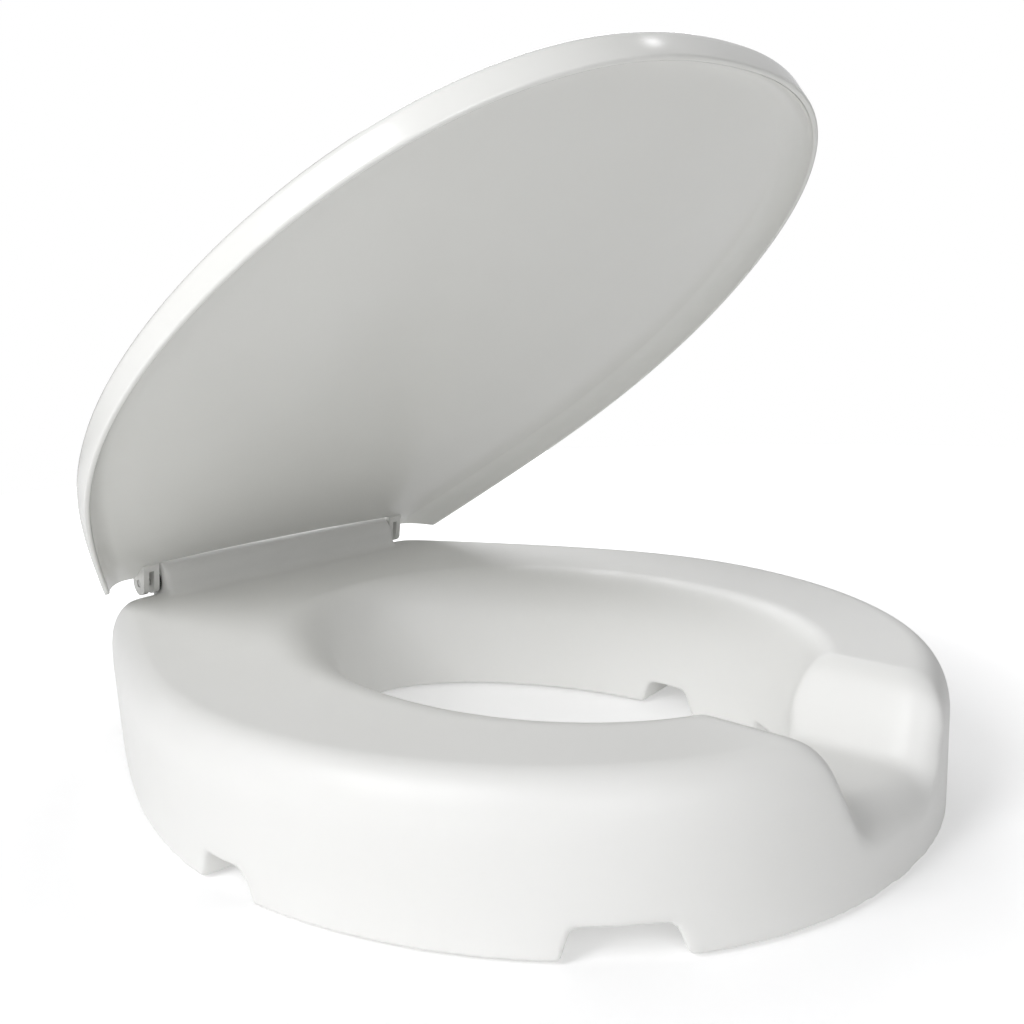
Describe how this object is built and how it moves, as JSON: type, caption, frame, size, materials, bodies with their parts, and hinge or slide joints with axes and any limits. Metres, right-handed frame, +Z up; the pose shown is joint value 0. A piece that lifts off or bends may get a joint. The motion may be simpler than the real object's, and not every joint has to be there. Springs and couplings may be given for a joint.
{
  "type": "raised toilet seat",
  "caption": "Thick moulded raised toilet seat with an egg-shaped opening, a hygiene recess across the front, bracket channels below and a thin glossy lid on a rear hinge.",
  "frame": {"origin": "middle of the footprint, on the surface that the four pads stand on", "axes": "+Z up; -Y towards the front of the seat, where the hygiene recess is; +Y towards the hinge; +X to the right of someone who faces the seat's front from -Y. The seat is symmetric in X"},
  "size_m": [0.357, 0.4279, 0.3132],
  "materials": {
    "seat_plastic": "satin",
    "lid_plastic": "gloss",
    "pin_steel": "satin",
    "bush_nylon": "satin",
    "washer_rubber": "matte",
    "pad_rubber": "matte"
  },
  "bodies": {
    "seat": {"seat_body": "seat_plastic", "hinge_bush_left": "bush_nylon", "hinge_bush_right": "bush_nylon", "friction_washer_left": "washer_rubber", "friction_washer_right": "washer_rubber", "non_slip_pad_front_left": "pad_rubber", "non_slip_pad_front_right": "pad_rubber", "non_slip_pad_rear_left": "pad_rubber", "non_slip_pad_rear_right": "pad_rubber"},
    "lid": {"lid": "lid_plastic", "hinge_pin_left": "pin_steel", "hinge_pin_right": "pin_steel"}
  },
  "joints": [
    {"name": "lid_hinge", "type": "hinge", "parent": "seat", "child": "lid", "pos_m": [0, 0.2045, 0.0725], "axis": [-1, 0, 0], "range_deg": [-34.25, 60.75]}
  ]
}
